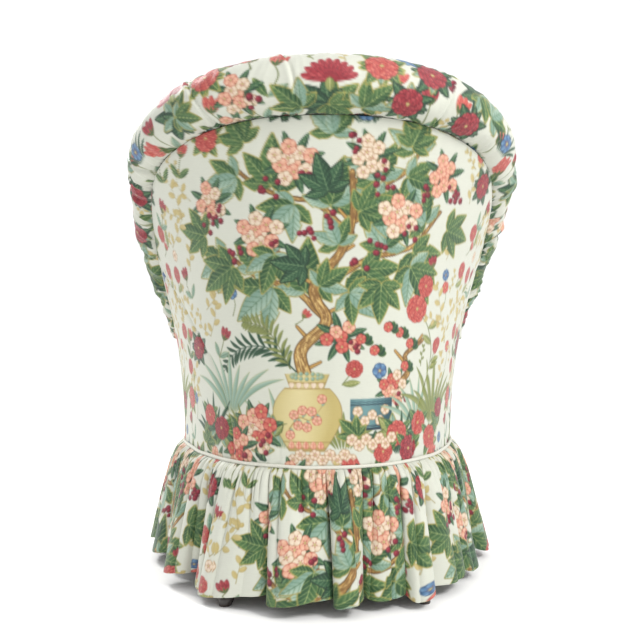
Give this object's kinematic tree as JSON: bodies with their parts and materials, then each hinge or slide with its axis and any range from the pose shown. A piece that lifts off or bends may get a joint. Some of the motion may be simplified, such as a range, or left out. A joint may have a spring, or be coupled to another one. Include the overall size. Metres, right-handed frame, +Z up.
{
  "type": "upholstered tub armchair",
  "caption": "Low tub armchair with a raked, rolled-over back sloping down to its arms, a sprung seat, a gathered skirt to the floor and turned feet, covered in flowering-tree chintz.",
  "frame": {"origin": "middle of the bounding box, on the floor under the chair", "axes": "+Z up, the sitter faces -Y, +X to the sitter's left"},
  "size_m": [0.7012, 0.7833, 0.908],
  "materials": {
    "chintz": "lightly glazed cotton printed with a flowering tree",
    "piping": "plain cotton over cord",
    "ebonised_wood": "ebonised and polished",
    "beech": "sawn, unfinished",
    "jute_webbing": "woven jute",
    "hessian": "open plain weave",
    "horsehair": "curled hair and wadding",
    "lining": "black cotton lining",
    "spring_steel": "drawn wire with a copper wash"
  },
  "bodies": {
    "root": {"rear_seat_rail": "beech", "side_seat_rail_left": "beech", "side_seat_rail_right": "beech", "front_corner_block_left": "beech", "front_corner_block_right": "beech", "front_seat_rail": "beech", "crest_rail": "beech", "arm_rail_left": "beech", "arm_rail_right": "beech", "back_post_left": "beech", "back_post_right": "beech", "stay_rail": "beech", "arm_stump_left": "beech", "arm_stump_right": "beech", "front_leg_left": "ebonised_wood", "front_leg_right": "ebonised_wood", "rear_leg_left": "ebonised_wood", "rear_leg_right": "ebonised_wood", "seat_strap_long_1": "jute_webbing", "seat_strap_long_2": "jute_webbing", "seat_strap_long_3": "jute_webbing", "seat_strap_cross_1": "jute_webbing", "seat_strap_cross_2": "jute_webbing", "seat_strap_cross_3": "jute_webbing", "back_strap_1": "jute_webbing", "back_strap_2": "jute_webbing", "back_strap_3": "jute_webbing", "seat_spring_1": "spring_steel", "seat_spring_2": "spring_steel", "seat_spring_3": "spring_steel", "seat_spring_4": "spring_steel", "seat_spring_5": "spring_steel", "seat_spring_6": "spring_steel", "seat_spring_7": "spring_steel", "seat_hessian": "hessian", "seat_stuffing": "horsehair", "seat_cover": "chintz", "dust_cover": "lining", "back_hessian": "hessian", "back_stuffing": "horsehair", "inside_back_cover": "chintz", "roll_stuffing": "horsehair", "roll_cover": "chintz", "outside_back_cover": "chintz", "outside_arm_cover_left": "chintz", "outside_arm_cover_right": "chintz", "arm_front_cover_left": "chintz", "arm_front_cover_right": "chintz", "back_button_1": "chintz", "back_button_2": "chintz", "back_button_3": "chintz", "back_button_4": "chintz", "back_button_5": "chintz", "back_button_6": "chintz", "back_button_7": "chintz", "skirt_back": "chintz", "skirt_side_left": "chintz", "skirt_side_right": "chintz", "skirt_front": "chintz", "skirt_piping": "piping"}
  },
  "joints": []
}
